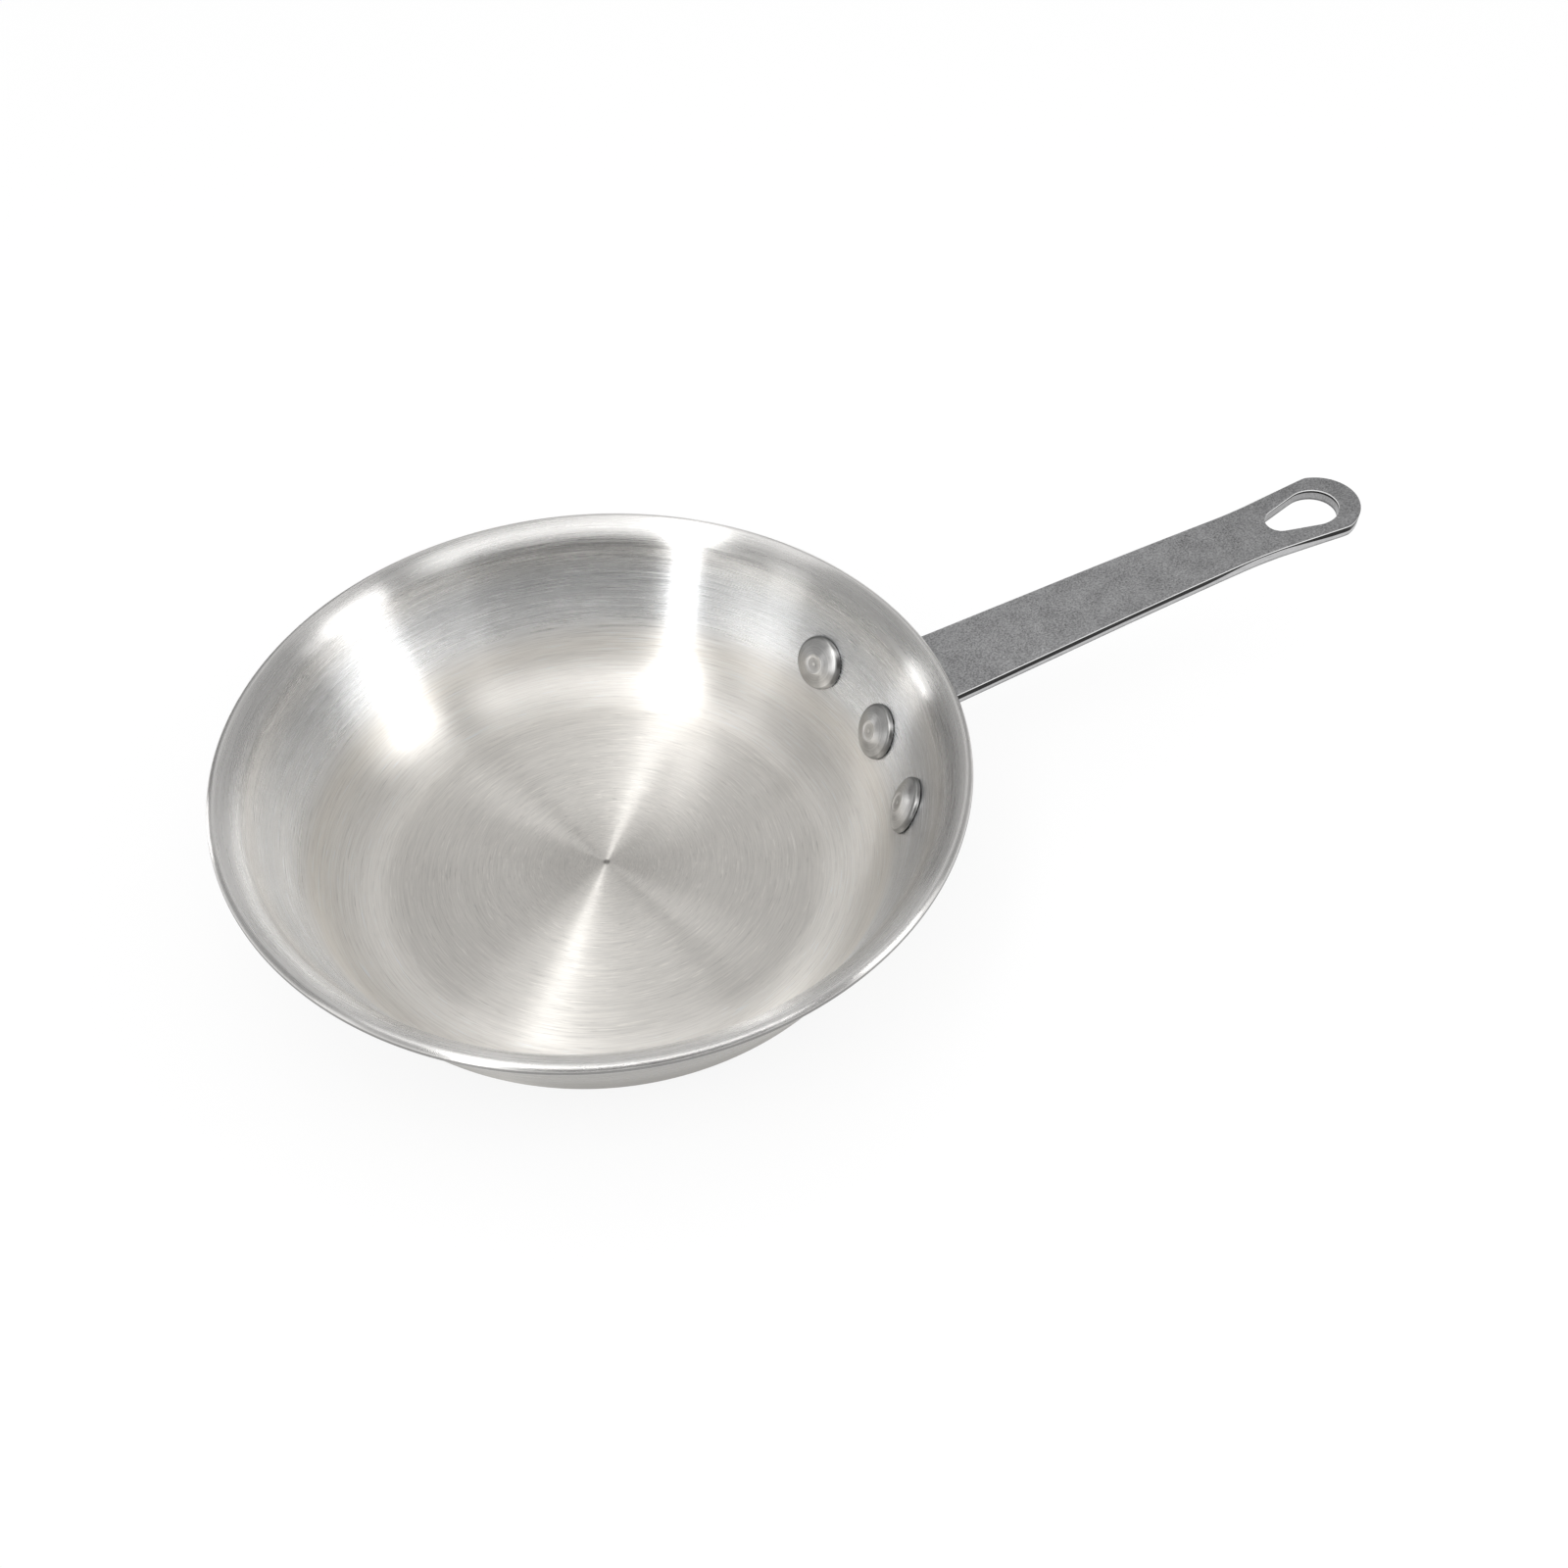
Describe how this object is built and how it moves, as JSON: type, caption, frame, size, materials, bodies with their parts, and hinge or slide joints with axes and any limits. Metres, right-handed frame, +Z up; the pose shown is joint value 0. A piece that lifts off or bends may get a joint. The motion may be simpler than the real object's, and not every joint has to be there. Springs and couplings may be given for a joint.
{
  "type": "omelette pan",
  "caption": "Round shallow omelette pan of spun metal with sloping sides, a rolled-out lip and a flat riveted steel handle that has a teardrop hanging hole.",
  "frame": {"origin": "centre of the flat underside of the base", "axes": "+Z up, +X from the pan's axis towards the tip of the handle, and +Y to the right of somebody who holds the handle and looks towards the pan"},
  "size_m": [0.3381, 0.203, 0.07],
  "materials": {
    "spun_aluminium": "spun: fine concentric brush lines, satin",
    "plated_steel": "plated, matt and finely pitted on top, brighter on its sides",
    "rivet_aluminium": "smooth satin, pressed"
  },
  "bodies": {
    "root": {"pan_body": "spun_aluminium", "handle": "plated_steel", "rivet_left": "rivet_aluminium", "rivet_middle": "rivet_aluminium", "rivet_right": "rivet_aluminium"}
  },
  "joints": []
}
